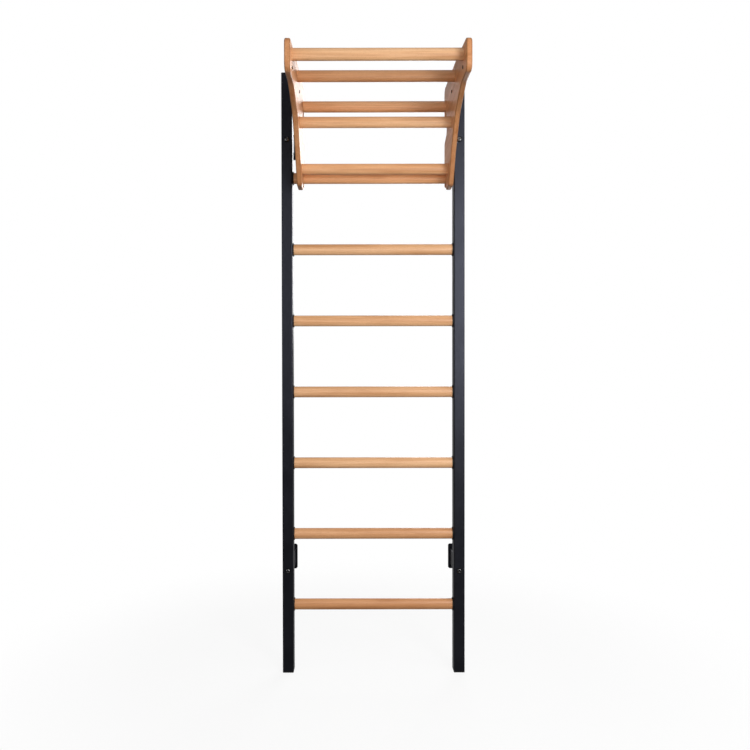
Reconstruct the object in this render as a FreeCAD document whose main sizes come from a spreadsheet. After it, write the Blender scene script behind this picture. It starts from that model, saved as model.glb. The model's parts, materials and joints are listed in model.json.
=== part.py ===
import FreeCAD, Part
import math
import os
import Sketcher

# Wall ladder with a wooden pull up bar that hooks over its two top rungs.
# Millimetres, +Z up, the user stands on the -Y side, the wall is the plane Y = 0.
# The origin is on the wall, at the centre of the rectangle of wall screws.

DIMENSIONS = [
    # the ladder as a whole
    ("ladder_height", 2200, "floor to the top of the caps"),
    ("ladder_width", 670, "outside to outside of the uprights"),
    ("origin_height", 1182, "floor to the centre of the wall screws"),
    # uprights, rectangular steel tube
    ("upright_face", 40, "width seen from the front"),
    ("upright_depth", 50, "front to back"),
    ("upright_wall", 2, "wall of the tube"),
    ("upright_corner", 4, "outside corner radius"),
    ("wall_gap", 100, "wall to the back of the uprights"),
    ("cap_plate", 3, "thickness of the top caps"),
    ("foot_plate", 5, "thickness of the feet"),
    ("plug_depth", 25, "how far a cap or foot reaches into its tube"),
    ("plug_wall", 2.5, "wall of the hollow plug"),
    ("plug_slack", 0.1, "play between plug and tube, each way"),
    ("plate_edge", 1.2, "rounding of the caps' and feet's edges"),
    # rungs, flattened oval beech
    ("rung_tall", 40, "height of the oval"),
    ("rung_deep", 30, "depth of the oval"),
    ("rung_end_round", 12, "radius of the oval's ends"),
    ("rung_pitch", 262.4, "rung to rung"),
    ("top_rung", 2083, "floor to the centre of the top rung"),
    ("rung_end_gap", 0.5, "rung end to the inside of the tube's outer wall"),
    # collars where the rungs enter the uprights
    ("collar_slack", 0.2, "play between rung and collar"),
    ("sleeve_slack", 0.05, "play between the sleeve and its hole"),
    ("collar_sleeve", 1.3, "wall of the sleeve that lines the hole"),
    ("collar_lip", 2.5, "lip around the hole"),
    ("collar_thick", 3.5, "thickness of the lip"),
    ("collar_reach", 8, "sleeve's reach past the lip"),
    # screws that lock the rungs, from behind
    ("rung_screw_radius", 2.5, "shank"),
    ("rung_screw_head", 4.75, "head radius"),
    ("rung_screw_cap", 3, "head height"),
    ("rung_screw_length", 32, "shank under the head"),
    ("rung_screw_tip", 5, "length of the point"),
    ("rung_screw_slack", 0.1, "play between a screw and the upright"),
    ("screw_socket_radius", 2.3, "hexagon drive in the screw heads, centre to corner"),
    ("screw_socket_depth", 1.8, "hexagon drive in the screw heads"),
    ("pan_flat", 0.72, "flat top of a pan head, part of the head radius"),
    ("pan_shoulder", 0.55, "straight side of a pan head, part of the head height"),
    # brackets that hold the uprights off the wall
    ("bracket_spacing", 1580, "lower to upper bracket"),
    ("bracket_tall", 96, "height of a bracket"),
    ("base_wide", 46, "width of the plate on the wall"),
    ("base_thick", 4, "thickness of the plate on the wall"),
    ("base_corner", 8, "corner radius of the plate on the wall"),
    ("channel_wide", 30, "width of the folded channel, less than the upright's"),
    ("channel_tall", 60, "height of the folded channel"),
    ("channel_wall", 3, "wall of the folded channel"),
    ("channel_bend", 4, "outside bend radius of the channel"),
    ("wall_hole", 4.25, "radius of the wall screw holes"),
    ("wall_hole_rise", 38.5, "wall screw holes above and below the bracket's centre"),
    # bolts that hold the uprights on the brackets
    ("bolt_drop", 16, "bolt below the bracket's centre"),
    ("bolt_radius", 5, "shank"),
    ("bolt_hole", 5.5, "radius of the bolt's clearance holes"),
    ("bolt_head", 8.75, "head radius"),
    ("bolt_head_tall", 5.5, "head height"),
    ("bolt_head_round", 4.2, "rounding of the button head"),
    ("bolt_length", 66, "shank under the head"),
    ("socket_radius", 3.46, "hexagon socket, centre to corner"),
    ("socket_depth", 3.5, "hexagon socket"),
    ("washer_radius", 10, "outside radius of the washer"),
    ("washer_thick", 2, "thickness of the washer"),
    ("nut_radius", 9.8, "hexagon nut, centre to corner"),
    ("nut_tall", 8, "thickness of the nut"),
    ("nut_slack", 0.05, "play between bolt and nut"),
    ("spacer_radius", 8, "outside radius of the spacer in the tube"),
    # pull up bar
    ("unit_aside", 6, "middle of the pull up bar, right of the ladder's middle"),
    ("panel_gap", 523, "between the inner faces of the side panels"),
    ("panel_thick", 18, "thickness of a side panel"),
    ("panel_round", 4.5, "round-over of the panels' edges"),
    ("slot_wide", 31, "width of the hook slots over the 30 mm rungs"),
    ("saddle_gap", 0.3, "hook saddle above its rung"),
    ("slot_corner", 13, "corner radius at the top of a slot"),
    ("mouth_flare", 4, "lead-in at each side of a slot's mouth"),
    ("mouth_rise", 6, "height of the lead-in"),
    ("slot_overrun", 12, "slot cutter past the mouth"),
    ("bar_tall", 38, "height of a grip bar's oval"),
    ("bar_deep", 29, "depth of a grip bar's oval"),
    ("bar_end_round", 11.5, "radius of that oval's ends"),
    ("mortise_depth", 8, "bars let into the panels"),
    ("mortise_slack", 0.2, "play between bar and mortise"),
    ("bar_screw_radius", 3, "shank"),
    ("bar_screw_head", 6, "head radius"),
    ("bar_screw_cap", 3, "head height"),
    ("bar_screw_length", 60, "shank under the head"),
    ("bar_screw_tip", 6, "length of the point"),
    ("cover_radius", 8, "wooden cover over a bar's screw"),
    ("cover_thick", 2.5, "thickness of the cover"),
    ("eyelet_radius", 4.25, "through holes for accessories"),
    ("eyelet_edge", 0.8, "chamfer round the accessory holes"),
]

# The grip bars' and accessory holes' places, from the top rung's centre: y back, z up.
BARS = [
    ("front_bar", -449, -4),
    ("second_bar", -252, 10),
    ("third_bar", -158, -111),
    ("rear_bar", -63, -246),
]
EYELETS = [
    ("front_eyelet", -440, -40),
    ("rear_eyelet", -182, -14),
]

# Corners of the side panel's outline, from the top rung's centre: y back, z up, radius.
# Between the ledge and the upper hook, the back edge is recessed. The step in the lower end
# lies in the lower slot, so that the lower hook is longer in front of its rung than behind it.
PANEL_CORNERS = [
    ("rear_top", 35, 77, 25),
    ("crown", -290, 51, 400),
    ("nose_top", -513, 22, 22),
    ("nose_bottom", -513, -77, 24),
    ("belly_front", -396, -70, 120),
    ("belly_back", -258, -113, 100),
    ("throat", -154, -211, 150),
    ("heel_front", -106, -281, 60),
    ("heel", -82, -310, 20),
    ("step_front", 0, -310, 2),
    ("step_rear", 0, -292, 2),
    ("lower_tine", 35, -292, 12),
    ("ledge_rear", 35, -125, 12),
    ("ledge_front", -31, -107, 15),
    ("recess_top", -31, -34, 10),
    ("upper_tine", 35, -34, 9),
]

RUNG_COUNT = 8
OVERCUT = 1  # how far a cutter stands out of what it cuts
SIDES = [("left", -1), ("right", 1)]
LEVELS = [("lower", -1), ("upper", 1)]

doc = FreeCAD.newDocument("pull_up_bar")
sheet = doc.addObject("Spreadsheet::Sheet", "Dimensions")
sub_parts = []


class Dim:
    """A sheet cell, or arithmetic on cells: its number, and the expression that binds it."""

    def __init__(self, value, text):
        self.value = value
        self.text = text

    def _join(self, other, sign, value):
        return Dim(value, f"({self.text} {sign} {as_dim(other).text})")

    def __add__(self, other):
        return self._join(other, "+", self.value + as_dim(other).value)

    def __sub__(self, other):
        return self._join(other, "-", self.value - as_dim(other).value)

    def __mul__(self, other):
        return self._join(other, "*", self.value * as_dim(other).value)

    def __truediv__(self, other):
        return self._join(other, "/", self.value / as_dim(other).value)

    def __neg__(self):
        return self * -1


def as_dim(number):
    """A plain number as a Dim, so that both can be mixed."""
    if isinstance(number, Dim):
        return number
    return Dim(float(number), f"({float(number)})")


def fill_sheet():
    """Writes every driving number to the sheet and returns the cells as Dims."""
    rows = list(DIMENSIONS)
    for name, back, up in BARS + EYELETS:
        rows.append((name + "_y", back, "from the top rung's centre"))
        rows.append((name + "_z", up, "from the top rung's centre"))
    for name, back, up, radius in PANEL_CORNERS:
        rows.append((name + "_y", back, "corner of the side panel"))
        rows.append((name + "_z", up, "corner of the side panel"))
        rows.append((name + "_round", radius, "corner of the side panel"))
    cells = {}
    for row, (alias, number, note) in enumerate(rows, 1):
        sheet.set(f"A{row}", alias)
        sheet.set(f"B{row}", str(number))
        sheet.set(f"C{row}", note)
        sheet.setAlias(f"B{row}", alias)
        cells[alias] = Dim(float(number), f"Dimensions.{alias}")
    doc.recompute()
    return cells


size = fill_sheet()


# ---- building blocks -------------------------------------------------------------------


def bind(thing, prop, number):
    """Binds a property to the sheet."""
    thing.setExpression(prop, as_dim(number).text)


def new_body(label, x=0, y=0, z=0):
    """A new sub-part, placed in the frame."""
    body = doc.addObject("PartDesign::Body", label)
    body.Label = label
    for axis, number in (("x", x), ("y", y), ("z", z)):
        bind(body, "Placement.Base." + axis, number)
    sub_parts.append(body)
    return body


def datum(body, role):
    """One of the body's own origin planes or axes."""
    return next(item for item in body.Origin.OriginFeatures if item.Role == role)


def attach(thing, body, plane, offset=(0, 0, 0)):
    """Lays a sketch or primitive on an origin plane; the offset is in the plane's own axes."""
    thing.AttachmentSupport = [(datum(body, plane), "")]
    thing.MapMode = "FlatFace"
    for axis, number in zip("xyz", offset):
        bind(thing, "AttachmentOffset.Base." + axis, number)


def new_sketch(body, plane, offset=(0, 0, 0)):
    sketch = body.newObject("Sketcher::SketchObject", body.Label + "_sketch")
    attach(sketch, body, plane, offset)
    return sketch


def fix(sketch, kind, first, first_point, second, second_point, number):
    """Adds a distance constraint and binds it to the sheet."""
    place = (first, first_point, second, second_point)
    index = sketch.addConstraint(Sketcher.Constraint(kind, *place, as_dim(number).value))
    sketch.setExpression(f"Constraints[{index}]", as_dim(number).text)


def fix_point(sketch, geometry, point, across, up):
    """Places a point of the sketch from the sketch's origin."""
    fix(sketch, "DistanceX", -1, 1, geometry, point, across)
    fix(sketch, "DistanceY", -1, 1, geometry, point, up)


def draw_polygon(sketch, corners):
    """A closed outline of straight lines, every corner bound to the sheet."""
    first = sketch.GeometryCount
    count = len(corners)
    points = [FreeCAD.Vector(as_dim(a).value, as_dim(b).value, 0) for a, b in corners]
    for index in range(count):
        sketch.addGeometry(Part.LineSegment(points[index], points[(index + 1) % count]), False)
    for index in range(count):
        following = first + (index + 1) % count
        sketch.addConstraint(Sketcher.Constraint("Coincident", first + index, 2, following, 1))
    for index, (across, up) in enumerate(corners):
        fix_point(sketch, first + index, 1, across, up)


def draw_arc(sketch, centre, radius, first_angle, last_angle):
    circle = Part.Circle(centre, FreeCAD.Vector(0, 0, 1), radius)
    return sketch.addGeometry(Part.ArcOfCircle(circle, first_angle, last_angle), False)


def fix_radius(sketch, geometry, radius):
    """Adds a radius constraint and binds it to the sheet."""
    index = sketch.addConstraint(Sketcher.Constraint("Radius", geometry, as_dim(radius).value))
    bind(sketch, f"Constraints[{index}]", radius)


def draw_rounded_outline(sketch, corners):
    """A closed outline of lines joined by tangent arcs, from (across, up, radius) corners."""
    first = sketch.GeometryCount
    points = [FreeCAD.Vector(across.value, up.value, 0) for across, up, _ in corners]
    count = len(corners)
    ways = [(points[(i + 1) % count] - points[i]).normalize() for i in range(count)]
    arcs = []
    for index, (_, _, radius) in enumerate(corners):
        before, after = ways[index - 1], ways[index]
        turn_left = before.cross(after).z > 0
        reach = radius.value * math.tan(before.getAngle(after) / 2)
        start = points[index] - before * reach
        stop = points[index] + after * reach
        sideways = FreeCAD.Vector(-before.y, before.x, 0) * (1 if turn_left else -1)
        centre = start + sideways * radius.value
        arcs.append((start, stop, centre, turn_left))
    for index in range(count):
        line = Part.LineSegment(arcs[index][1], arcs[(index + 1) % count][0])
        sketch.addGeometry(line, False)
    for index, (start, stop, centre, turn_left) in enumerate(arcs):
        ends = (start, stop) if turn_left else (stop, start)
        angles = [math.atan2(spot.y - centre.y, spot.x - centre.x) for spot in ends]
        draw_arc(sketch, centre, corners[index][2].value, *angles)
    for index, (across, up, radius) in enumerate(corners):
        arc = first + count + index
        came, left = (1, 2) if arcs[index][3] else (2, 1)
        line_before = first + (index - 1) % count
        line_after = first + index
        sketch.addConstraint(Sketcher.Constraint("Tangent", line_before, 2, arc, came))
        sketch.addConstraint(Sketcher.Constraint("Tangent", arc, left, line_after, 1))
        fix_radius(sketch, arc, radius)
        corner = sketch.addGeometry(Part.Point(points[index]), True)
        fix_point(sketch, corner, 1, across, up)
        for line in (line_before, line_after):
            sketch.addConstraint(Sketcher.Constraint("PointOnObject", corner, 1, line))


def draw_rectangle(sketch, wide, tall, radius):
    """A rectangle with rounded corners, centred on the sketch's origin."""
    right, high = wide / 2, tall / 2
    ways = ((-1, -1), (1, -1), (1, 1), (-1, 1))
    draw_rounded_outline(sketch, [(right * a, high * b, radius) for a, b in ways])


def draw_oval(sketch, across, up, section, grow=0):
    """An oval of four tangent arcs; grow widens its (wide, tall, end radius) all round."""
    wide, tall, end_radius = section
    rise = tall / 2 - end_radius
    slim = wide / 2 - end_radius
    shift = (rise * rise - slim * slim) / (slim * 2)
    end_radius = end_radius + grow
    side_radius = wide / 2 + shift + grow
    across, up = as_dim(across), as_dim(up)
    meet = math.atan2(rise.value, shift.value)
    arcs = [
        (across - shift, up, side_radius, -meet),
        (across, up + rise, end_radius, meet),
        (across + shift, up, side_radius, math.pi - meet),
        (across, up - rise, end_radius, math.pi + meet),
    ]
    first = sketch.GeometryCount
    for index, (x, y, radius, start) in enumerate(arcs):
        stop = arcs[(index + 1) % 4][3]
        if stop < start:
            stop += math.pi * 2
        draw_arc(sketch, FreeCAD.Vector(x.value, y.value, 0), radius.value, start, stop)
    for index in range(4):
        following = first + (index + 1) % 4
        sketch.addConstraint(Sketcher.Constraint("Tangent", first + index, 2, following, 1))
    for index in (1, 3):
        fix_point(sketch, first + index, 3, arcs[index][0], arcs[index][1])
    for index in (0, 1):
        fix_radius(sketch, first + index, arcs[index][2])
        sketch.addConstraint(Sketcher.Constraint("Equal", first + index, first + index + 2))


def draw_circle(sketch, across, up, radius):
    centre = FreeCAD.Vector(as_dim(across).value, as_dim(up).value, 0)
    normal = FreeCAD.Vector(0, 0, 1)
    index = sketch.addGeometry(Part.Circle(centre, normal, as_dim(radius).value), False)
    fix_point(sketch, index, 3, across, up)
    fix_radius(sketch, index, radius)


def pad(body, sketch, length, toward=1):
    """Adds material along the sketch's normal (1), against it (-1) or both ways (0)."""
    feature = body.newObject("PartDesign::Pad", body.Label + "_pad")
    feature.Profile = sketch
    bind(feature, "Length", length)
    if toward == 0:
        feature.SideType = "Symmetric"
    feature.Reversed = toward < 0


def must_shrink(body, build):
    """Runs a cut and stops if it removed nothing."""
    doc.recompute()
    before = body.Shape.Volume
    feature = build()
    doc.recompute()
    if not body.Shape.Volume < before - 0.01:
        raise RuntimeError(f"{body.Label}: {feature.Label} removed nothing")


def pocket(body, sketch, depth=None, toward=-1):
    """Cuts a sketch to a depth along (1) or against (-1) its normal, or right through."""

    def build():
        feature = body.newObject("PartDesign::Pocket", body.Label + "_pocket")
        feature.Profile = sketch
        if depth is None:
            feature.Type = "ThroughAll"
            feature.SideType = "Symmetric"
        else:
            bind(feature, "Length", depth)
            feature.Reversed = toward > 0
        return feature

    must_shrink(body, build)


def cylinder(body, kind, plane, offset, radius, length):
    """A PartDesign cylinder that rises from an origin plane along its normal."""
    feature = body.newObject(f"PartDesign::{kind}Cylinder", f"{body.Label}_{kind.lower()}")
    attach(feature, body, plane, offset)
    bind(feature, "Radius", radius)
    bind(feature, "Height", length)
    return feature


def drill(body, plane, offset, radius, length):
    """Cuts a round hole that starts at the offset and runs along the plane's normal."""
    must_shrink(body, lambda: cylinder(body, "Subtractive", plane, offset, radius, length))


def drill_through(body, offset, radius, length):
    """Cuts a round hole along -Y, right through a wall that starts at the offset."""
    x, z, start = offset
    drill(body, "XZ_Plane", (x, z, as_dim(start) - OVERCUT), radius, length + OVERCUT * 2)


def cut_socket(body, start, radius, length):
    """Cuts a hexagon socket on the Y axis, from start towards -Y."""

    def build():
        socket = body.newObject("PartDesign::SubtractivePrism", body.Label + "_socket")
        attach(socket, body, "XZ_Plane", (0, 0, start))
        socket.Polygon = 6
        bind(socket, "Circumradius", radius)
        bind(socket, "Height", length)
        return socket

    must_shrink(body, build)


def turn(body, axis, offset, profile):
    """A turned solid on the X or Y axis, from (radius, distance along the axis) points."""
    sketch = new_sketch(body, "XY_Plane", offset)
    if axis == "X":
        draw_polygon(sketch, [(along, radius) for radius, along in profile])
    else:
        draw_polygon(sketch, profile)
    feature = body.newObject("PartDesign::Revolution", body.Label + "_turned")
    feature.Profile = sketch
    feature.ReferenceAxis = (sketch, ["H_Axis" if axis == "X" else "V_Axis"])
    feature.Angle = 360


def screw_profile(radius, head, cap, length, tip, way):
    """A pan head screw whose head seats at 0 and whose point lies towards way."""
    shank = length - tip
    flat = head * size["pan_flat"]
    shoulder = cap * size["pan_shoulder"]
    points = [(0, -cap), (flat, -cap), (head, -shoulder), (head, 0)]
    points += [(radius, 0), (radius, shank), (0, length)]
    return [(across, as_dim(along) * way) for across, along in points]


def repeat(body, axis, spacing, count, second_axis=None, second_spacing=None):
    """Repeats the whole body along one or two of its axes, and makes that its tip."""
    doc.recompute()
    pattern = body.newObject("PartDesign::LinearPattern", body.Label + "_pattern")
    pattern.TransformMode = "Whole shape"
    pattern.Direction = (datum(body, axis), [""])
    bind(pattern, "Length", as_dim(spacing) * (count - 1))
    pattern.Occurrences = count
    if second_axis:
        pattern.Direction2 = (datum(body, second_axis), [""])
        bind(pattern, "Length2", second_spacing)
        pattern.Occurrences2 = 2
    body.Tip = pattern


def dress_edges(body, kind, prop, amount, chosen):
    """Adds a fillet or chamfer to the edges of the body's tip that the test picks."""
    doc.recompute()
    base = body.Tip
    names = [f"Edge{i}" for i, edge in enumerate(base.Shape.Edges, 1) if chosen(edge)]
    if not names:
        raise RuntimeError(f"{body.Label}: no edge to dress")
    feature = body.newObject(f"PartDesign::{kind}", f"{body.Label}_{kind.lower()}")
    feature.Base = (base, names)
    bind(feature, prop, amount)
    doc.recompute()


def round_edges(body, radius, chosen):
    dress_edges(body, "Fillet", "Radius", radius, chosen)


def bevel_edges(body, width, chosen):
    dress_edges(body, "Chamfer", "Size", width, chosen)


def round_hole(radius):
    """A test for full circles of one radius."""

    def chosen(edge):
        return edge.Closed and abs(getattr(edge.Curve, "Radius", 0) - radius) < 0.001

    return chosen


def runs_along_x(y, z):
    """A test for straight edges along X that pass through a point of the YZ plane."""

    def chosen(edge):
        spots = [vertex.Point for vertex in edge.Vertexes]
        if len(spots) < 2 or abs(spots[0].x - spots[-1].x) < 1:
            return False
        return all(abs(spot.y - y) < 0.01 and abs(spot.z - z) < 0.01 for spot in spots)

    return chosen


def in_plane_x(*places):
    """A test for edges that lie wholly in one of the planes X = place."""

    def chosen(edge):
        box = edge.BoundBox
        return any(max(abs(box.XMin - x), abs(box.XMax - x)) < 0.01 for x in places)

    return chosen


def in_plane_z(place):
    """A test for edges that lie wholly in the plane Z = place."""
    return lambda edge: max(abs(edge.BoundBox.ZMin - place), abs(edge.BoundBox.ZMax - place)) < 0.01


# ---- places worked out from the driving dimensions -----------------------------------------

upright_x = (size["ladder_width"] - size["upright_face"]) / 2
upright_y = -(size["wall_gap"] + size["upright_depth"] / 2)
front_y = -(size["wall_gap"] + size["upright_depth"])
floor_z = -size["origin_height"]
top_rung_z = size["top_rung"] - size["origin_height"]
low_rung_z = top_rung_z - size["rung_pitch"] * (RUNG_COUNT - 1)
tube_length = size["ladder_height"] - size["cap_plate"] - size["foot_plate"]
tube_low_z = floor_z + size["foot_plate"]
hole_grow = size["collar_slack"] + size["collar_sleeve"]
low_bolt_z = -(size["bracket_spacing"] / 2 + size["bolt_drop"])
rung_section = (size["rung_deep"], size["rung_tall"], size["rung_end_round"])
bar_section = (size["bar_deep"], size["bar_tall"], size["bar_end_round"])


# ---- the ladder ------------------------------------------------------------------------------


def make_upright(side_name, side):
    """A steel tube, open to the rungs on its inner side and to a locking screw behind each."""
    body = new_body(f"{side_name}_upright", upright_x * side, upright_y, tube_low_z)
    section = new_sketch(body, "XY_Plane")
    draw_rectangle(section, size["upright_face"], size["upright_depth"], size["upright_corner"])
    walls = size["upright_wall"] * 2
    inner_face = size["upright_face"] - walls
    inner_depth = size["upright_depth"] - walls
    draw_rectangle(section, inner_face, inner_depth, size["upright_corner"] - size["upright_wall"])
    pad(body, section, tube_length)

    holes = new_sketch(body, "YZ_Plane")
    for step in range(RUNG_COUNT):
        height = low_rung_z + size["rung_pitch"] * step - tube_low_z
        draw_oval(holes, 0, height, rung_section, hole_grow)
    pocket(body, holes, size["upright_face"] / 2 + OVERCUT, toward=-side)

    screw_hole = size["rung_screw_radius"] + size["rung_screw_slack"]
    for step in range(RUNG_COUNT):
        height = low_rung_z + size["rung_pitch"] * step - tube_low_z
        start = (0, height, -(size["upright_depth"] / 2))
        drill_through(body, start, screw_hole, size["upright_wall"])

    bolts = new_sketch(body, "XZ_Plane")
    for step in range(2):
        height = low_bolt_z + size["bracket_spacing"] * step - tube_low_z
        draw_circle(bolts, 0, height, size["bolt_hole"])
    pocket(body, bolts)


def make_tube_end(label, side, plate_z, thick, plug_way):
    """A plastic cap or foot: a plate over the tube's end and a hollow plug inside it."""
    body = new_body(label, upright_x * side, upright_y, plate_z)
    plate = new_sketch(body, "XY_Plane")
    draw_rectangle(plate, size["upright_face"], size["upright_depth"], size["upright_corner"])
    pad(body, plate, thick, toward=-plug_way)
    round_edges(body, size["plate_edge"], in_plane_z(-plug_way * thick.value))

    narrower = (size["upright_wall"] + size["plug_slack"]) * 2
    wide = size["upright_face"] - narrower
    deep = size["upright_depth"] - narrower
    corner = size["upright_corner"] - narrower / 2
    plug = new_sketch(body, "XY_Plane")
    draw_rectangle(plug, wide, deep, corner)
    hollow = size["plug_wall"] * 2
    draw_rectangle(plug, wide - hollow, deep - hollow, corner / 2)
    pad(body, plug, size["plug_depth"], toward=plug_way)


def make_oval_bar(label, place, section, length, pilots):
    """An oval wooden bar across X; pilots are (plane, offset, radius, length) screw holes."""
    body = new_body(label, *place)
    outline = new_sketch(body, "YZ_Plane")
    draw_oval(outline, 0, 0, section)
    pad(body, outline, length, toward=0)
    for plane, offset, radius, depth in pilots:
        drill(body, plane, offset, radius, depth)


def make_rungs():
    """Eight rungs that end inside the uprights, counted from the top."""
    length = size["ladder_width"] - (size["upright_wall"] + size["rung_end_gap"]) * 2
    deep = size["rung_screw_length"] - size["upright_depth"] / 2 + size["rung_deep"] / 2
    for step in range(RUNG_COUNT):
        pilots = []
        for _, side in SIDES:
            start = (upright_x * side, 0, -size["rung_deep"] / 2)
            pilots.append(("XZ_Plane", start, size["rung_screw_radius"], deep))
        height = top_rung_z - size["rung_pitch"] * step
        make_oval_bar(f"rung_{step + 1}", (0, upright_y, height), rung_section, length, pilots)


def make_rung_collars(side_name, side):
    """Plastic collars: a lip on the upright's inner side and a sleeve through its wall."""
    inner_x = (size["ladder_width"] / 2 - size["upright_face"]) * side
    body = new_body(f"{side_name}_rung_collars", inner_x, upright_y, low_rung_z)
    for grow, length, toward in (
        (hole_grow + size["collar_lip"], size["collar_thick"], -side),
        (hole_grow - size["sleeve_slack"], size["collar_reach"], side),
    ):
        ring = new_sketch(body, "YZ_Plane")
        draw_oval(ring, 0, 0, rung_section, grow)
        draw_oval(ring, 0, 0, rung_section, size["collar_slack"])
        pad(body, ring, length, toward)
    repeat(body, "Z_Axis", size["rung_pitch"], RUNG_COUNT)


def make_rung_screws(side_name, side):
    """Pan head screws through the back of the upright into the rungs."""
    body = new_body(f"{side_name}_rung_screws", upright_x * side, -size["wall_gap"], low_rung_z)
    parts = ("rung_screw_radius", "rung_screw_head", "rung_screw_cap", "rung_screw_length")
    turn(body, "Y", (0, 0, 0), screw_profile(*(size[p] for p in parts), size["rung_screw_tip"], -1))
    start = -size["rung_screw_cap"] - OVERCUT
    cut_socket(body, start, size["screw_socket_radius"], size["screw_socket_depth"] + OVERCUT)
    repeat(body, "Z_Axis", size["rung_pitch"], RUNG_COUNT)


def make_bracket(side_name, side, level_name, level):
    """A folded channel welded on a base plate; the upright is bolted on its front."""
    centre_z = size["bracket_spacing"] / 2 * level
    body = new_body(f"{side_name}_{level_name}_bracket", upright_x * side, 0, centre_z)
    base = new_sketch(body, "XZ_Plane")
    draw_rectangle(base, size["base_wide"], size["bracket_tall"], size["base_corner"])
    pad(body, base, size["base_thick"])

    half = size["channel_wide"] / 2
    inner = half - size["channel_wall"]
    back = -size["base_thick"]
    front = -size["wall_gap"]
    web = front + size["channel_wall"]
    channel = new_sketch(body, "XY_Plane")
    outside = [(-half, back), (-half, front), (half, front), (half, back)]
    inside = [(inner, back), (inner, web), (-inner, web), (-inner, back)]
    draw_polygon(channel, outside + inside)
    pad(body, channel, size["channel_tall"], toward=0)

    def front_bend(edge):
        spots = [vertex.Point for vertex in edge.Vertexes]
        upright = abs(spots[0].z - spots[-1].z) > size["channel_tall"].value / 2
        return upright and all(
            abs(abs(s.x) - half.value) < 0.01 and abs(s.y - front.value) < 0.01 for s in spots
        )

    round_edges(body, size["channel_bend"], front_bend)
    bolt_hole = (0, -size["bolt_drop"], size["wall_gap"] - size["channel_wall"])
    drill_through(body, bolt_hole, size["bolt_hole"], size["channel_wall"])
    for way in (-1, 1):
        wall_hole = (0, size["wall_hole_rise"] * way, 0)
        drill_through(body, wall_hole, size["wall_hole"], size["base_thick"])


def repeat_at_bolts(body):
    """The four bolt places, from the lower left one."""
    repeat(body, "Z_Axis", size["bracket_spacing"], 2, "X_Axis", upright_x * 2)


def make_bolts():
    """Button head bolts through the uprights, with washers, spacers and welded nuts."""
    head = size["bolt_head_tall"]
    washer = size["washer_thick"]
    wall = size["upright_wall"]

    bolts = new_body("upright_bolts", -upright_x, front_y - washer, low_bolt_z)
    profile = [(0, -head), (size["bolt_head"], -head), (size["bolt_head"], 0)]
    profile += [(size["bolt_radius"], 0), (size["bolt_radius"], size["bolt_length"])]
    turn(bolts, "Y", (0, 0, 0), profile + [(0, size["bolt_length"])])

    def rim(edge):
        box = edge.BoundBox
        flat = abs(box.YMin + head.value) < 0.01 and abs(box.YMax + head.value) < 0.01
        return flat and box.XMax > size["bolt_head"].value - 0.01

    round_edges(bolts, size["bolt_head_round"], rim)

    start = head - size["socket_depth"]
    cut_socket(bolts, start, size["socket_radius"], size["socket_depth"] + OVERCUT)
    repeat_at_bolts(bolts)

    washers = new_body("upright_washers", -upright_x, front_y, low_bolt_z)
    cylinder(washers, "Additive", "XZ_Plane", (0, 0, 0), size["washer_radius"], washer)
    drill_through(washers, (0, 0, 0), size["bolt_hole"], washer)
    repeat_at_bolts(washers)

    spacers = new_body("upright_spacers", -upright_x, front_y + wall, low_bolt_z)
    inside = size["upright_depth"] - wall * 2
    start = (0, 0, -inside)
    cylinder(spacers, "Additive", "XZ_Plane", start, size["spacer_radius"], inside)
    drill_through(spacers, start, size["bolt_hole"], inside)
    repeat_at_bolts(spacers)

    nut_y = -(size["wall_gap"] - size["channel_wall"] - size["nut_tall"])
    nuts = new_body("bracket_nuts", -upright_x, nut_y, low_bolt_z)
    nut = nuts.newObject("PartDesign::AdditivePrism", "bracket_nuts_hexagon")
    attach(nut, nuts, "XZ_Plane")
    nut.Polygon = 6
    bind(nut, "Circumradius", size["nut_radius"])
    bind(nut, "Height", size["nut_tall"])
    bore = size["bolt_radius"] + size["nut_slack"]
    drill_through(nuts, (0, 0, 0), bore, size["nut_tall"])
    repeat_at_bolts(nuts)


# ---- the pull up bar -----------------------------------------------------------------------


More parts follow.
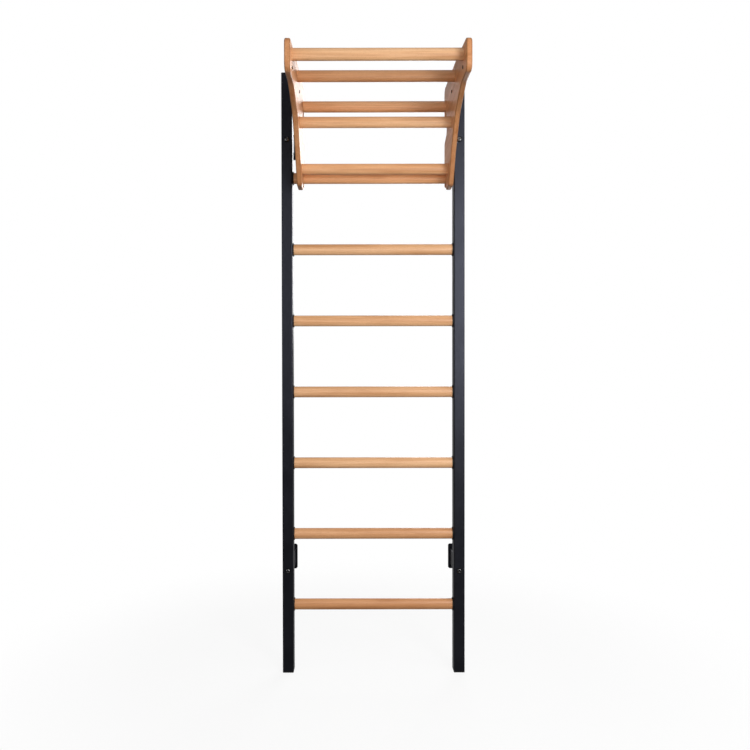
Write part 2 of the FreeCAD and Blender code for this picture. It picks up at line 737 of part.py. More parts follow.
def make_side_panel(side_name, side):
    """A shaped beech panel that carries the bars and hooks over the two top rungs."""
    inner_x = size["unit_aside"] + size["panel_gap"] / 2 * side
    body = new_body(f"{side_name}_side_panel", inner_x, upright_y, top_rung_z)
    outline = new_sketch(body, "YZ_Plane")
    ends = ("_y", "_z", "_round")
    draw_rounded_outline(outline, [[size[name + e] for e in ends] for name, *_ in PANEL_CORNERS])
    pad(body, outline, size["panel_thick"], toward=side)
    outer_x = size["panel_thick"].value * side
    round_edges(body, size["panel_round"], in_plane_x(0, outer_x))

    half = size["slot_wide"] / 2
    wide = half + size["mouth_flare"]
    top = size["rung_tall"] / 2 + size["saddle_gap"]
    slots = new_sketch(body, "YZ_Plane")
    hooks = (("recess_top", "upper_tine"), ("step_front", "step_rear"))
    for step, (front_end, rear_end) in enumerate(hooks):
        saddle = top - size["rung_pitch"] * step
        front, rear = size[f"{front_end}_z"], size[f"{rear_end}_z"]
        corners = [(half, saddle), (half, rear + size["mouth_rise"]), (wide, rear)]
        corners += [(wide, rear - size["slot_overrun"]), (-wide, front - size["slot_overrun"])]
        corners += [(-wide, front), (-half, front + size["mouth_rise"]), (-half, saddle)]
        draw_polygon(slots, corners)
    pocket(body, slots)
    for step in range(2):
        for way in (-1, 1):
            place = (half.value * way, top.value - size["rung_pitch"].value * step)
            round_edges(body, size["slot_corner"], runs_along_x(*place))

    mortises = new_sketch(body, "YZ_Plane")
    for name, *_ in BARS:
        place = (size[f"{name}_y"], size[f"{name}_z"])
        draw_oval(mortises, *place, bar_section, size["mortise_slack"])
    pocket(body, mortises, size["mortise_depth"], toward=side)

    eyelets = new_sketch(body, "YZ_Plane")
    for name, *_ in EYELETS:
        draw_circle(eyelets, size[f"{name}_y"], size[f"{name}_z"], size["eyelet_radius"])
    for name, *_ in BARS:
        draw_circle(eyelets, size[f"{name}_y"], size[f"{name}_z"], size["bar_screw_radius"])
    pocket(body, eyelets)

    bevel_edges(body, size["eyelet_edge"], round_hole(size["eyelet_radius"].value))

    recess = new_sketch(body, "YZ_Plane", (0, 0, size["panel_thick"] * side))
    for name, *_ in BARS:
        draw_circle(recess, size[f"{name}_y"], size[f"{name}_z"], size["cover_radius"])
    pocket(body, recess, size["cover_thick"] + size["bar_screw_cap"], toward=-side)


def make_bars():
    """Four grip bars, let into both side panels."""
    length = size["panel_gap"] + size["mortise_depth"] * 2
    seat = size["panel_thick"] - size["cover_thick"] - size["bar_screw_cap"]
    wood = size["bar_screw_length"] - (seat - size["mortise_depth"])
    for name, *_ in BARS:
        pilots = [
            ("YZ_Plane", (0, 0, -length / 2), size["bar_screw_radius"], wood),
            ("YZ_Plane", (0, 0, length / 2 - wood), size["bar_screw_radius"], wood),
        ]
        place = (size["unit_aside"], upright_y + size[f"{name}_y"], top_rung_z + size[f"{name}_z"])
        make_oval_bar(name, place, bar_section, length, pilots)


def make_bar_fastenings(side_name, side):
    """Per side: the screws that hold the bars, and the wooden covers over them."""
    outer_x = size["unit_aside"] + (size["panel_gap"] / 2 + size["panel_thick"]) * side
    seat_x = outer_x - (size["cover_thick"] + size["bar_screw_cap"]) * side
    screws = new_body(f"{side_name}_bar_screws", seat_x, upright_y, top_rung_z)
    parts = ("bar_screw_radius", "bar_screw_head", "bar_screw_cap", "bar_screw_length")
    profile = screw_profile(*(size[p] for p in parts), size["bar_screw_tip"], -side)
    covers = new_body(f"{side_name}_screw_covers", outer_x, upright_y, top_rung_z)
    for name, *_ in BARS:
        place = (size[f"{name}_y"], size[f"{name}_z"])
        turn(screws, "X", (0, *place), profile)
        start = -size["cover_thick"] if side > 0 else 0
        cover = (size["cover_radius"], size["cover_thick"])
        cylinder(covers, "Additive", "YZ_Plane", (*place, start), *cover)


# ---- build, check and write ------------------------------------------------------------------


def build():
    for side_name, side in SIDES:
        make_upright(side_name, side)
        top_z = tube_low_z + tube_length
        make_tube_end(f"{side_name}_top_cap", side, top_z, size["cap_plate"], -1)
        make_tube_end(f"{side_name}_foot", side, tube_low_z, size["foot_plate"], 1)
        make_rung_collars(side_name, side)
        make_rung_screws(side_name, side)
        for level_name, level in LEVELS:
            make_bracket(side_name, side, level_name, level)
        make_side_panel(side_name, side)
        make_bar_fastenings(side_name, side)
    make_rungs()
    make_bolts()
    make_bars()
    doc.recompute()


def check():
    """Stops on any object that failed to recompute and any sub-part without a valid solid."""
    for item in doc.Objects:
        if "Invalid" in item.State or "Error" in item.State:
            raise RuntimeError(f"{item.Label} did not recompute: {item.State}")
    for body in sub_parts:
        shape = body.Shape
        if shape.isNull() or not shape.isValid() or not shape.Solids:
            raise RuntimeError(f"{body.Label} has no valid solid")


def write():
    os.makedirs("parts", exist_ok=True)
    for body in sub_parts:
        body.Shape.exportStep(f"parts/{body.Label}.step")
        print(f"{body.Label}: {len(body.Shape.Solids)} solids, {body.Shape.Volume / 1000:.1f} cm3")


build()
check()
write()
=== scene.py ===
import json
import math

import bpy
import bmesh
from mathutils import Matrix, Vector


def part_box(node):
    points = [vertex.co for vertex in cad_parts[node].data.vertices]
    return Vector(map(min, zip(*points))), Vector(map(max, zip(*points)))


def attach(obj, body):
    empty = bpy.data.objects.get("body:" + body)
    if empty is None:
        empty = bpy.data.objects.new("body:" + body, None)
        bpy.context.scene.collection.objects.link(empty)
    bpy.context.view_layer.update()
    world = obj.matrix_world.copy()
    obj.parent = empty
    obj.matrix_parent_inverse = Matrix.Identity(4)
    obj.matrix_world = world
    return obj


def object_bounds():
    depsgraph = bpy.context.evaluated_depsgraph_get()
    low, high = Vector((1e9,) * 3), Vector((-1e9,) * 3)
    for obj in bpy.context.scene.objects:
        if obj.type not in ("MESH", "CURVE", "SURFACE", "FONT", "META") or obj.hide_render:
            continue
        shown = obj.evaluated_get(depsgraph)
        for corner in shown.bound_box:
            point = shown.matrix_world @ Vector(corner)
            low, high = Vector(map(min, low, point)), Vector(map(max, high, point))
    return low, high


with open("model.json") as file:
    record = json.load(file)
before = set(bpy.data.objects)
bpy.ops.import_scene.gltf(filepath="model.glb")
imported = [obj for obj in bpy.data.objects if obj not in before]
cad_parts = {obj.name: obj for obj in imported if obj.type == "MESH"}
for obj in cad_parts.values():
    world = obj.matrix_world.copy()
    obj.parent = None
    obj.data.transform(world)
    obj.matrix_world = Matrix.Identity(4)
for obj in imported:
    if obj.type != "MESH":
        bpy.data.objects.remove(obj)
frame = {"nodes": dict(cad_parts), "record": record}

# The looks of a wall ladder with a hook-on wooden pull up bar. Metres, +Z up, the user on the -Y side.

cad_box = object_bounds()
nodes = frame["nodes"]
mounts = frame["record"]["mounts"]
floor_z = cad_box[0].z
ladder_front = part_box("left_upright")[0].y

LADDER = "wall_ladder"
PULL_UP_BAR = "pull_up_bar"
SIDES = ("left", "right")
LEVELS = ("lower", "upper")


# ---- camera and light -----------------------------------------------------------------------

CAMERA_DISTANCE = 2.6    # in front of the uprights
CAMERA_RISE = 1.126      # above the floor
CAMERA_ASIDE = -0.053    # left of the ladder's middle
CAMERA_SENSOR = 36       # mm wide
CAMERA_LENS = 34.07      # mm
CAMERA_TILT = -0.66      # degrees, looking slightly down
CAMERA_ROLL = -0.1       # degrees
CAMERA_SHIFT = 0.0215    # of the frame's width: the ladder isn't centred on the lens


def make_camera():
    data = bpy.data.cameras.new("camera")
    data.lens = CAMERA_LENS
    data.sensor_width = CAMERA_SENSOR
    data.shift_x = CAMERA_SHIFT
    camera = bpy.data.objects.new("camera", data)
    camera.location = (CAMERA_ASIDE, ladder_front - CAMERA_DISTANCE, floor_z + CAMERA_RISE)
    tilt = Matrix.Rotation(math.radians(90 + CAMERA_TILT), 4, "X")
    roll = Matrix.Rotation(math.radians(CAMERA_ROLL), 4, "Z")
    camera.rotation_euler = (tilt @ roll).to_euler()
    bpy.context.scene.collection.objects.link(camera)
    bpy.context.scene.camera = camera


# each soft light's place, the point that it faces, its width and height, and its power in watts
SOFTBOXES = {
    "key": ((1.25, -2.9, 0.60), (0, -0.2, 0.3), (0.9, 1.8), 55),
    "fill": ((-1.3, -3.0, 0.6), (0, -0.2, 0.2), (1.0, 1.4), 12),
    "front": ((0.1, -3.0, -0.1), (0, -0.2, 0.1), (1.6, 1.2), 20),
    "left": ((-2.6, -1.7, 0.5), (0.2, -0.3, 0.7), (1.2, 1.2), 10),
    "right": ((2.4, -1.6, 0.7), (-0.2, -0.3, 0.8), (1.2, 1.2), 18),
    "back": ((0.9, 2.6, 1.2), (0, 0, 0.2), (1.6, 2.0), 55),
    "top": ((0.3, -1.2, 2.9), (0, -0.2, 0), (1.6, 1.2), 6),
}
NOT_REFLECTED = ("front",)    # it would wash out the black uprights


def make_lights():
    for name, (place, target, size, power) in SOFTBOXES.items():
        data = bpy.data.lights.new(name, "AREA")
        data.shape = "RECTANGLE"
        data.size, data.size_y = size
        data.energy = power
        light = bpy.data.objects.new(name, data)
        light.visible_glossy = name not in NOT_REFLECTED
        light.location = place
        aim = Vector(target) - Vector(place)
        light.rotation_euler = aim.to_track_quat("-Z", "Y").to_euler()
        bpy.context.scene.collection.objects.link(light)


WORLD_FRONT = 0.03       # strength of the even light from the front
WORLD_BACK = 0.3         # and from behind, where the bright wall would be


def make_world():
    """White for the camera, and a dimmer light on everything else, stronger from behind."""
    world = bpy.data.worlds.new("studio")
    world.use_nodes = True
    tree = world.node_tree
    background = tree.nodes["Background"]
    background.inputs["Color"].default_value = (1, 1, 1, 1)
    direction = tree.nodes.new("ShaderNodeTexCoord")
    split = tree.nodes.new("ShaderNodeSeparateXYZ")
    glow = tree.nodes.new("ShaderNodeMapRange")
    glow.interpolation_type = "SMOOTHSTEP"
    glow.inputs["To Min"].default_value = WORLD_FRONT
    glow.inputs["To Max"].default_value = WORLD_BACK
    path = tree.nodes.new("ShaderNodeLightPath")
    strength = tree.nodes.new("ShaderNodeMapRange")
    strength.inputs["To Max"].default_value = 1.0
    tree.links.new(direction.outputs["Generated"], split.inputs["Vector"])
    tree.links.new(split.outputs["Y"], glow.inputs["Value"])
    tree.links.new(glow.outputs["Result"], strength.inputs["To Min"])
    tree.links.new(path.outputs["Is Camera Ray"], strength.inputs["Value"])
    tree.links.new(strength.outputs["Result"], background.inputs["Strength"])
    bpy.context.scene.world = world
    bpy.context.scene.view_settings.view_transform = "Standard"


# ---- material building ----------------------------------------------------------------------


class Shader:
    """A node material, built by short calls that return output sockets."""

    def __init__(self, name):
        self.material = bpy.data.materials.new(name)
        self.material.use_nodes = True
        self.tree = self.material.node_tree
        self.surface = self.tree.nodes["Principled BSDF"]
        coordinates = self.tree.nodes.new("ShaderNodeTexCoord")
        self.place = coordinates.outputs["Object"]

    def add(self, kind, output=0, settings=None, **inputs):
        node = self.tree.nodes.new("ShaderNode" + kind)
        for key, value in (settings or {}).items():
            setattr(node, key, value)
        for key, value in inputs.items():
            self.put(node, key, value)
        return node.outputs[output]

    def put(self, node, key, value):
        """Sets or links an input. key is i and its number, or its label with underscores for spaces."""
        number = key[1:] if key[0] == "i" and key[1:].isdigit() else None
        socket = node.inputs[int(number)] if number else node.inputs[key.replace("_", " ")]
        if isinstance(value, bpy.types.NodeSocket):
            self.tree.links.new(value, socket)
        else:
            socket.default_value = value

    def set(self, **inputs):
        for key, value in inputs.items():
            self.put(self.surface, key, value)

    def math(self, operation, a, b, clamp=False):
        settings = {"operation": operation, "use_clamp": clamp}
        return self.add("Math", settings=settings, i0=a, i1=b)

    def vector(self, operation, *inputs, output=0):
        numbered = {f"i{number}": value for number, value in enumerate(inputs)}
        return self.add("VectorMath", output=output, settings={"operation": operation}, **numbered)

    def length(self, vector):
        return self.vector("LENGTH", vector, output=1)

    def stretch(self, scale, offset=(0, 0, 0), turn=(0, 0, 0), source=None):
        source = source or self.place
        return self.add("Mapping", Vector=source, Scale=scale, Location=offset, Rotation=turn)

    def noise(self, vector, scale=1.0, detail=2.0, rough=0.5):
        return self.add("TexNoise", Vector=vector, Scale=scale, Detail=detail, Roughness=rough)

    def ramp(self, value, low, high, to_low=0.0, to_high=1.0):
        """Smoothly maps low..high to to_low..to_high."""
        settings = {"interpolation_type": "SMOOTHSTEP"}
        limits = {"From_Min": low, "From_Max": high, "To_Min": to_low, "To_Max": to_high}
        return self.add("MapRange", settings=settings, Value=value, **limits)

    def mix(self, share, a, b, blend="MIX"):
        settings = {"data_type": "RGBA", "blend_type": blend}
        return self.add("Mix", output=2, settings=settings, i0=share, i6=a, i7=b)

    def bump(self, height, strength, distance):
        return self.add("Bump", Height=height, Strength=strength, Distance=distance)


def wear(obj, material):
    """Gives an object that one material."""
    obj.data.materials.clear()
    obj.data.materials.append(material)


# ---- beech ----------------------------------------------------------------------------------

BEECH_LIGHT = (0.88, 0.54, 0.30, 1)
BEECH_MIDDLE = (0.74, 0.40, 0.19, 1)
BEECH_DARK = (0.48, 0.205, 0.075, 1)
# the beech's short dark flecks, and also the painted shade along the panels' arrises
FLECK_AND_SHADE_COLOUR = (0.26, 0.10, 0.035, 1)
# painted shade inside the accessory holes and over their chamfers
HOLE_SHADE_COLOUR = (0.03, 0.014, 0.008, 1)
EDGE_SHADE_TINT = (0.66, 0.61, 0.58, 1)       # painted shade on a panel's cut edges, against its faces

# the wood's noises: scale along the grain and across it, detail, roughness
BEND = ((2.2, 9, 9), 3, 0.45)           # of the growth rings
STREAKS = ((1.6, 45, 45), 3, 0.55)
THREADS = ((3.5, 230, 230), 3, 0.6)
PATCHES = ((4, 22, 22), 3, 0.55)
PORES = ((35, 1300, 1300), 2, 0.6)
RAYS = ((240, 1900, 1900), 0, 0.5)      # the short dark flecks of beech

# every bar was cut from its own plank: how light it is, and how much redder. The lightness is
# partly the wood's own tone and partly painted light: rung_1, rung_2 and second_bar are made
# lighter to offset the shade that falls on them.
BOARD_TONES_AND_LIGHT = {
    "rung_1": (1.08, 0.8),
    "rung_2": (1.06, 0.9),
    "rung_3": (0.97, 0.1),
    "rung_4": (1.00, 0.2),
    "rung_5": (0.95, 0.4),
    "rung_6": (1.04, 0.1),
    "rung_7": (0.92, 0.9),
    "rung_8": (0.87, 1.3),
    "front_bar": (0.95, 0.0),
    "second_bar": (0.90, 1.0),
    "third_bar": (0.97, 0.1),
    "rear_bar": (0.98, 0.4),
}
# painted shade: the left panel is a little darker than the right, copying the dimmer light on its front
# edge
PANEL_TONES_AND_LIGHT = {"left": (1.06, 0.95), "right": (1.10, 0.95)}
PANEL_SEED = 31          # the first side panel's number, past those of the bars
COVER_SEED = 36          # the first screw covers' number

SEED_STEP = (3.1, 0.37, 0.71)    # from one piece's place in the wood to the next one's
PITH_Y = 0.19            # the heart of the tree, from the piece
PITH_Z = 0.11
PITH_STEP = 0.02         # further on each next piece, and back again at every third
RING_BEND = 0.05         # how far the rings are bent out of round
BAR_RING = 0.006         # from one growth ring to the next
PANEL_RING = 0.008
STAVE_WIDTH = 0.06       # of the strips that a side panel is glued from
STAVES_PER_METRE = 0.9   # end to end along the grain
BAR_LACQUER = 0.25       # how much of the clear coat shows
PANEL_LACQUER = 0.05
GRAIN_ACROSS = (0, 0, 0)
GRAIN_BACKWARDS = (0, 0, math.radians(90))

EDGE_START = 0.0001      # how far in from a panel's face its cut edge begins
EDGE_FULL = 0.0010
ARRIS_SHADE_FULL = 0.0016      # the painted shade along the rounded arris is darkest up to here
ARRIS_SHADE_END = 0.0036       # and has faded out here
HOLE_RIM = 1.16          # the painted shade of a hole reaches over its chamfer
HOLE_BLUR = 1.04         # and has faded out at this many times that reach


def wood_noise(shader, along, kind):
    scale, detail, rough = kind
    return shader.noise(shader.stretch(scale, source=along), detail=detail, rough=rough)


def make_rings(shader, along, seed, ring):
    """Growth rings: the distance from a far pith, bent by slow noise along the grain. The late
    wood darkens slowly and ends sharply."""
    bend = wood_noise(shader, along, BEND)
    pith = (0, PITH_Y + PITH_STEP * (seed % 3), PITH_Z)
    distance = shader.length(shader.stretch((0.0, 1, 1), offset=pith, source=along))
    bent = shader.math("ADD", distance, shader.math("MULTIPLY", bend, RING_BEND))
    phase = shader.math("FRACT", shader.math("DIVIDE", bent, ring), 0.0)
    late_wood = shader.ramp(phase, 0.35, 0.95)
    edge = shader.ramp(phase, 0.95, 1.0, 1.0, 0.0)
    return shader.math("MULTIPLY", late_wood, edge)


def stain(shader, colour, noise, low, high, most):
    """Darkens the wood where a noise rises from low to high."""
    return shader.mix(shader.ramp(noise, low, high, 0.0, most), colour, BEECH_DARK)


def tint_staves(shader, colour, along, width):
    """Makes each glued strip a little darker or lighter than the next."""
    strips = shader.stretch((STAVES_PER_METRE, 1 / width, 1 / width), source=along)
    snapped = shader.vector("FLOOR", strips)
    strip_tone = shader.add("TexWhiteNoise", settings={"noise_dimensions": "3D"}, Vector=snapped)
    return stain(shader, colour, strip_tone, 0, 1, 0.3)


def paint_edge_shade(shader, colour, faces):
    """Paints shade on a panel's cut edges, darker than its two faces, and a darker painted shade along
    their rounded arrises.
    """
    near, far = faces
    depth = shader.add("SeparateXYZ", Vector=shader.place)
    from_near = shader.math("SUBTRACT", depth, near)
    from_far = shader.math("SUBTRACT", far, depth)
    inside = shader.math("MINIMUM", from_near, from_far)
    cut = shader.ramp(inside, EDGE_START, EDGE_FULL)
    colour = shader.mix(cut, colour, shader.mix(1.0, colour, EDGE_SHADE_TINT, blend="MULTIPLY"))
    arris_shade = shader.math("MULTIPLY", cut, shader.ramp(inside, ARRIS_SHADE_FULL, ARRIS_SHADE_END, 1, 0))
    return shader.mix(shader.math("MULTIPLY", arris_shade, 0.5), colour, FLECK_AND_SHADE_COLOUR)


def paint_hole_shade(shader, colour, holes):
    # Paints the shade inside each hole and over its chamfer into the wood's colour.
    for centre, radius in holes:
        dark = radius * HOLE_RIM
        away = shader.vector("SUBTRACT", shader.place, centre)
        reach = shader.length(shader.stretch((0, 1, 1), source=away))
        colour = shader.mix(shader.ramp(reach, dark, dark * HOLE_BLUR, 1, 0), colour, HOLE_SHADE_COLOUR)
    return colour


def make_beech(name, grain, seed, tone_and_light, ring=BAR_RING, lacquer=BAR_LACQUER, panel=None):
    """Lacquered beech. grain is the rotation that lays the material's X along the wood's grain,
    the fourth argument its lightness and redness, partly the wood's own tone and partly painted
    light, ring the growth rings' spacing, lacquer how much of the clear coat shows, and panel, on a
    glued panel, the X of its two faces and of its holes, which get painted shade."""
    shader = Shader(name)
    along = shader.stretch((1, 1, 1), offset=[seed * step for step in SEED_STEP], turn=grain)
    rings = make_rings(shader, along, seed, ring)
    streaks = wood_noise(shader, along, STREAKS)
    threads = wood_noise(shader, along, THREADS)
    patches = wood_noise(shader, along, PATCHES)
    pores = wood_noise(shader, along, PORES)
    flecks = shader.ramp(wood_noise(shader, along, RAYS), 0.68, 0.78)

    share = shader.math("ADD", shader.math("MULTIPLY", rings, 0.3), shader.ramp(streaks, 0.3, 0.7))
    colour = shader.mix(shader.math("MULTIPLY", share, 0.72, clamp=True), BEECH_LIGHT, BEECH_MIDDLE)
    colour = stain(shader, colour, threads, 0.46, 0.72, 0.42)
    colour = stain(shader, colour, streaks, 0.54, 0.76, 0.5)
    colour = stain(shader, colour, patches, 0.48, 0.74, 0.42)
    if panel:
        colour = tint_staves(shader, colour, along, STAVE_WIDTH)
    colour = stain(shader, colour, pores, 0.35, 0.75, 0.16)
    colour = shader.mix(shader.math("MULTIPLY", flecks, 0.4), colour, FLECK_AND_SHADE_COLOUR)
    light, redness = tone_and_light
    tint = (light, light * (1 - 0.14 * redness), light * (1 - 0.24 * redness), 1)
    # the tint is partly each piece's own tone and partly painted light and shade
    colour = shader.mix(1.0, colour, tint, blend="MULTIPLY")
    # painted shade on the panel's cut edges, arrises and holes
    if panel:
        faces, holes = panel
        colour = paint_edge_shade(shader, colour, faces)
        colour = paint_hole_shade(shader, colour, holes)

    relief = shader.math("ADD", shader.math("MULTIPLY", pores, 0.6), shader.math("MULTIPLY", rings, 0.4))
    shader.set(
        Base_Color=colour,
        Roughness=shader.ramp(pores, 0.2, 0.8, 0.36, 0.5),
        Normal=shader.bump(relief, 0.25, 0.0002),
        Coat_Weight=lacquer,
        Coat_Roughness=0.22,
        Specular_IOR_Level=0.2 + lacquer,
    )
    return shader.material


def panel_holes(side):
    """Centre and radius of the accessory holes in one side panel."""
    bores = [mount for mount in mounts if mount["name"].startswith(side) and mount["kind"] == "bore"]
    return [(tuple(bore["pos_m"]), bore["dims"]["r_mm"] / 1000) for bore in bores]


def dress_wood():
    for seed, (name, tone_and_light) in enumerate(BOARD_TONES_AND_LIGHT.items(), 1):
        wear(nodes[name], make_beech(f"beech_{name}", GRAIN_ACROSS, seed, tone_and_light))
    for number, (side, tone_and_light) in enumerate(PANEL_TONES_AND_LIGHT.items()):
        low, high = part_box(f"{side}_side_panel")
        beech = make_beech(
            f"beech_{side}_panel", GRAIN_BACKWARDS, PANEL_SEED + number, tone_and_light,
            ring=PANEL_RING, lacquer=PANEL_LACQUER, panel=((low.x, high.x), panel_holes(side)),
        )
        wear(nodes[f"{side}_side_panel"], beech)
        covers = make_beech(f"beech_{side}_covers", GRAIN_BACKWARDS, COVER_SEED + number, tone_and_light)
        wear(nodes[f"{side}_screw_covers"], covers)


# ---- steel and plastic ----------------------------------------------------------------------

COAT_DARK = (0.004, 0.004, 0.005, 1)
COAT_LIGHT = (0.007, 0.007, 0.009, 1)
COAT_DUST = (0.02, 0.02, 0.026, 1)
COAT_SHINE = (0.74, 0.78, 1.0, 1)
RUBBER_DARK = (0.004, 0.004, 0.004, 1)
RUBBER_LIGHT = (0.010, 0.010, 0.010, 1)
PLASTIC_DARK = (0.007, 0.007, 0.007, 1)
PLASTIC_LIGHT = (0.013, 0.013, 0.013, 1)
OXIDE_DARK = (0.12, 0.12, 0.125, 1)
OXIDE_WORN = (0.38, 0.38, 0.39, 1)
ZINC_DARK = (0.52, 0.54, 0.58, 1)
ZINC_LIGHT = (0.72, 0.73, 0.75, 1)


def make_powder_coat():
    """Satin black powder coat: a fine orange peel, faint dust and slightly rubbed high spots."""
    shader = Shader("powder_coat")
    peel = shader.noise(shader.place, scale=620, detail=1.5, rough=0.5)
    grit = shader.noise(shader.place, scale=2600, detail=1, rough=0.6)
    patches = shader.noise(shader.place, scale=9, detail=3, rough=0.6)
    relief = shader.math("ADD", peel, shader.math("MULTIPLY", grit, 0.35))
    colour = shader.mix(shader.ramp(patches, 0.3, 0.8), COAT_DARK, COAT_LIGHT)
    shader.set(
        Base_Color=shader.mix(shader.ramp(grit, 0.62, 0.8, 0, 0.5), colour, COAT_DUST),
        Roughness=shader.ramp(patches, 0.25, 0.75, 0.36, 0.44),
        Normal=shader.bump(relief, 0.35, 0.00025),
        Specular_Tint=COAT_SHINE,
    )
    return shader.material


def make_rubber():
    """Dull black rubber of the washers under the bolt heads."""
    shader = Shader("black_rubber")
    dust = shader.noise(shader.place, scale=700, detail=3, rough=0.6)
    shader.set(
        Base_Color=shader.mix(dust, RUBBER_DARK, RUBBER_LIGHT),
        Roughness=shader.ramp(dust, 0.3, 0.7, 0.75, 0.9),
        Normal=shader.bump(dust, 0.3, 0.0002),
        Specular_IOR_Level=0.15,
    )
    return shader.material


def make_black_plastic():
    """Moulded black plastic with a fine spark-eroded grain."""
    shader = Shader("black_plastic")
    grain = shader.noise(shader.place, scale=1500, detail=2, rough=0.6)
    cloud = shader.noise(shader.place, scale=25, detail=2)
    shader.set(
        Base_Color=shader.mix(shader.ramp(cloud, 0.3, 0.7), PLASTIC_DARK, PLASTIC_LIGHT),
        Roughness=shader.ramp(grain, 0.3, 0.7, 0.5, 0.66),
        Normal=shader.bump(grain, 0.4, 0.0002),
    )
    return shader.material


def make_black_steel():
    """Black oxide on the fasteners, thinner where a tool has touched it."""
    shader = Shader("black_steel")
    fine = shader.noise(shader.place, scale=1900, detail=3, rough=0.6)
    worn = shader.noise(shader.place, scale=260, detail=3, rough=0.65)
    shader.set(
        Base_Color=shader.mix(shader.ramp(worn, 0.45, 0.7), OXIDE_DARK, OXIDE_WORN),
        Metallic=1.0,
        Roughness=shader.ramp(fine, 0.3, 0.7, 0.16, 0.3),
        Normal=shader.bump(fine, 0.15, 0.0001),
    )
    return shader.material


def make_zinc():
    """Bright zinc plate, hazy and slightly blue."""
    shader = Shader("zinc")
    haze = shader.noise(shader.place, scale=140, detail=4, rough=0.65)
    shader.set(
        Base_Color=shader.mix(haze, ZINC_DARK, ZINC_LIGHT),
        Metallic=1.0,
        Roughness=shader.ramp(haze, 0.3, 0.7, 0.24, 0.42),
        Normal=shader.bump(haze, 0.1, 0.0002),
    )
    return shader.material


def dress_metal_and_plastic():
    """Dresses everything that isn't wood, and returns the two materials that the trim shares."""
    coat = make_powder_coat()
    plastic = make_black_plastic()
    fastener = make_black_steel()
    zinc = make_zinc()
    for side in SIDES:
        wear(nodes[f"{side}_upright"], coat)
        for level in LEVELS:
            wear(nodes[f"{side}_{level}_bracket"], coat)
        for name in ("top_cap", "foot", "rung_collars"):
            wear(nodes[f"{side}_{name}"], plastic)
        wear(nodes[f"{side}_rung_screws"], fastener)
        wear(nodes[f"{side}_bar_screws"], zinc)
    wear(nodes["upright_bolts"], fastener)
    wear(nodes["upright_washers"], make_rubber())
    wear(nodes["upright_spacers"], zinc)
    wear(nodes["bracket_nuts"], zinc)
    return coat, plastic


# ---- mesh work ------------------------------------------------------------------------------


def join_rings(shape, low, high):
    """Faces between two rings of as many points."""
    for here in range(len(low)):
        after = (here + 1) % len(low)
        shape.faces.new((low[here], low[after], high[after], high[here]))


def add_piece(name, shape, material, body):
    """Turns finished mesh work into a smooth piece that rides a body."""
    bmesh.ops.recalc_face_normals(shape, faces=shape.faces)
    mesh = bpy.data.meshes.new(name)
    shape.to_mesh(mesh)
    shape.free()
    mesh.shade_smooth()
    piece = bpy.data.objects.new(name, mesh)
    bpy.context.scene.collection.objects.link(piece)
    wear(piece, material)
    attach(piece, body)


# ---- welds on the brackets ------------------------------------------------------------------

WELD_RADIUS = 0.0028
WELD_RIPPLE = 0.0022     # distance from one ripple to the next
WELD_DEPTH = 0.18        # of a ripple, as a share of the radius
WELD_END = 0.25          # a bead's radius at its very end, as a share
WELD_TAPER = 12          # each end tapers over the length divided by this
WELD_PHASE = 7           # shifts each bead's ripples by its own height
WELD_RINGS = 110
WELD_SIDES = 10
CHANNEL_HALF_WIDE = 0.015
CHANNEL_HALF_TALL = 0.030
PLATE_THICK = 0.004


def add_weld(shape, start, stop, phase):
    """A rippled bead of weld metal from start to stop, thinner at its ends."""
    run = Vector(stop) - Vector(start)
    way = run.normalized()
    across = way.orthogonal().normalized()
    other = way.cross(across)
    rings = []
    for step in range(WELD_RINGS):
        share = step / (WELD_RINGS - 1)
        wave = abs(math.sin(math.pi * share * run.length / WELD_RIPPLE + phase))
        full = min(1.0, WELD_TAPER * share, WELD_TAPER * (1 - share))
        taper = WELD_END + (1 - WELD_END) * full
        radius = WELD_RADIUS * taper * (1 - WELD_DEPTH * (1 - wave))
        centre = Vector(start) + run * share
        ring = []
        for side in range(WELD_SIDES):
            angle = math.tau * side / WELD_SIDES
            spot = centre + (across * math.cos(angle) + other * math.sin(angle)) * radius
            ring.append(shape.verts.new(spot))
        rings.append(ring)
    for low, high in zip(rings, rings[1:]):
        join_rings(shape, low, high)
    shape.faces.new(list(reversed(rings[0])))
    shape.faces.new(rings[-1])


def make_welds(coat):
    """Beads along both sides of every bracket's channel, where it meets the base plate."""
    shape = bmesh.new()
    for side in SIDES:
        for level in LEVELS:
            low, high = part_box(f"{side}_{level}_bracket")
            centre = (low + high) / 2
            seam_y = high.y - PLATE_THICK
            for way in (-1, 1):
                x = centre.x + CHANNEL_HALF_WIDE * way
                start = (x, seam_y, centre.z - CHANNEL_HALF_TALL)
                stop = (x, seam_y, centre.z + CHANNEL_HALF_TALL)
                add_weld(shape, start, stop, centre.z * WELD_PHASE + way)
    add_piece("bracket_welds", shape, coat, LADDER)


# ---- grommets of the accessory holes ---------------------------------------------------------

GROMMET_PROFILE = [      # distance outward from the hole's edge, and proud of the panel's face
    (0.0000, -0.0040),
    (0.0000, 0.0008),
    (0.0002, 0.0013),
    (0.0006, 0.0016),
    (0.0010, 0.0015),
    (0.0013, 0.0011),
    (0.0014, 0.0005),
    (0.0014, -0.0001),
]
GROMMET_SEGMENTS = 48


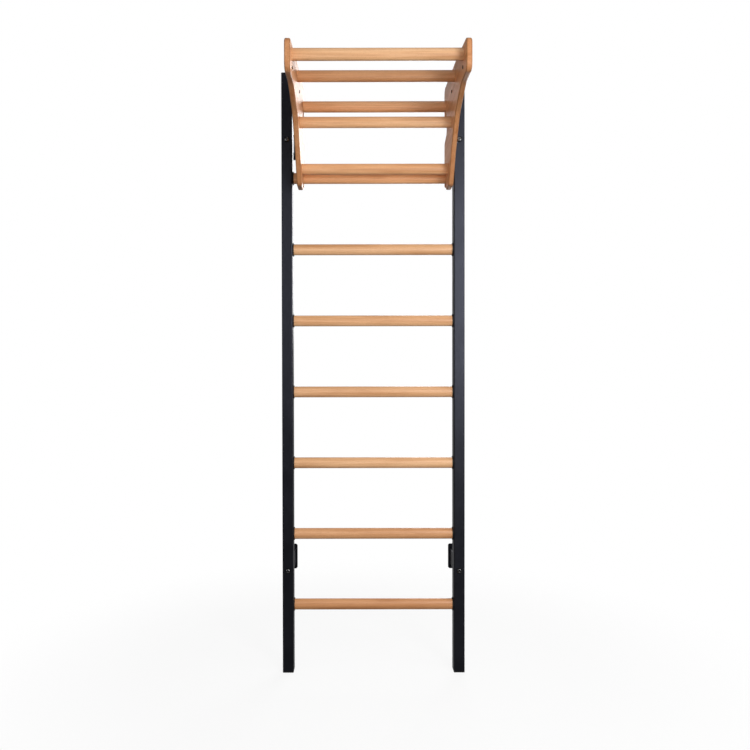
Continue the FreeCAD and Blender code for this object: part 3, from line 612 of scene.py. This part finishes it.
def add_grommet(shape, face_x, inward, centre_y, centre_z, bore):
    rings = []
    for outward, proud in GROMMET_PROFILE:
        radius = bore + outward
        ring = []
        for step in range(GROMMET_SEGMENTS):
            angle = math.tau * step / GROMMET_SEGMENTS
            y = centre_y + math.cos(angle) * radius
            z = centre_z + math.sin(angle) * radius
            ring.append(shape.verts.new((face_x + proud * inward, y, z)))
        rings.append(ring)
    for near, far in zip(rings, rings[1:] + rings[:1]):
        join_rings(shape, near, far)


def make_grommets(plastic):
    """Black moulded rings in the inner mouths of the accessory holes."""
    shape = bmesh.new()
    for side in SIDES:
        low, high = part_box(f"{side}_side_panel")
        face_x = high.x if side == "left" else low.x
        inward = 1 if side == "left" else -1
        for (_, y, z), bore in panel_holes(side):
            add_grommet(shape, face_x, inward, y, z, bore)
    add_piece("eyelet_grommets", shape, plastic, PULL_UP_BAR)


# ---- floor ----------------------------------------------------------------------------------

FLOOR_RADIUS = 1.7
FLOOR_DROP = 0.0005      # below the feet, so that no two faces coincide
FLOOR_COVER = 0.12       # how far the floor hides the white behind it
FLOOR_FADE_START = 0.4   # as shares of the radius
FLOOR_FADE_END = 0.97
FLOOR_COLOUR = (0.9, 0.9, 0.9, 1)


def make_floor():
    """A pale round floor whose edge fades out into the white background."""
    mesh = bpy.data.meshes.new("floor")
    shape = bmesh.new()
    bmesh.ops.create_circle(shape, cap_ends=True, segments=96, radius=FLOOR_RADIUS)
    shape.to_mesh(mesh)
    shape.free()
    floor = bpy.data.objects.new("floor", mesh)
    floor.location = (0, ladder_front, floor_z - FLOOR_DROP)
    bpy.context.scene.collection.objects.link(floor)
    shader = Shader("pale_floor")
    fade = (FLOOR_RADIUS * FLOOR_FADE_START, FLOOR_RADIUS * FLOOR_FADE_END)
    shader.set(
        Base_Color=FLOOR_COLOUR,
        Roughness=0.8,
        Alpha=shader.ramp(shader.length(shader.place), *fade, FLOOR_COVER, 0),
    )
    wear(floor, shader.material)


make_camera()
make_world()
make_lights()
make_floor()
dress_wood()
coat, plastic = dress_metal_and_plastic()
make_welds(coat)
make_grommets(plastic)
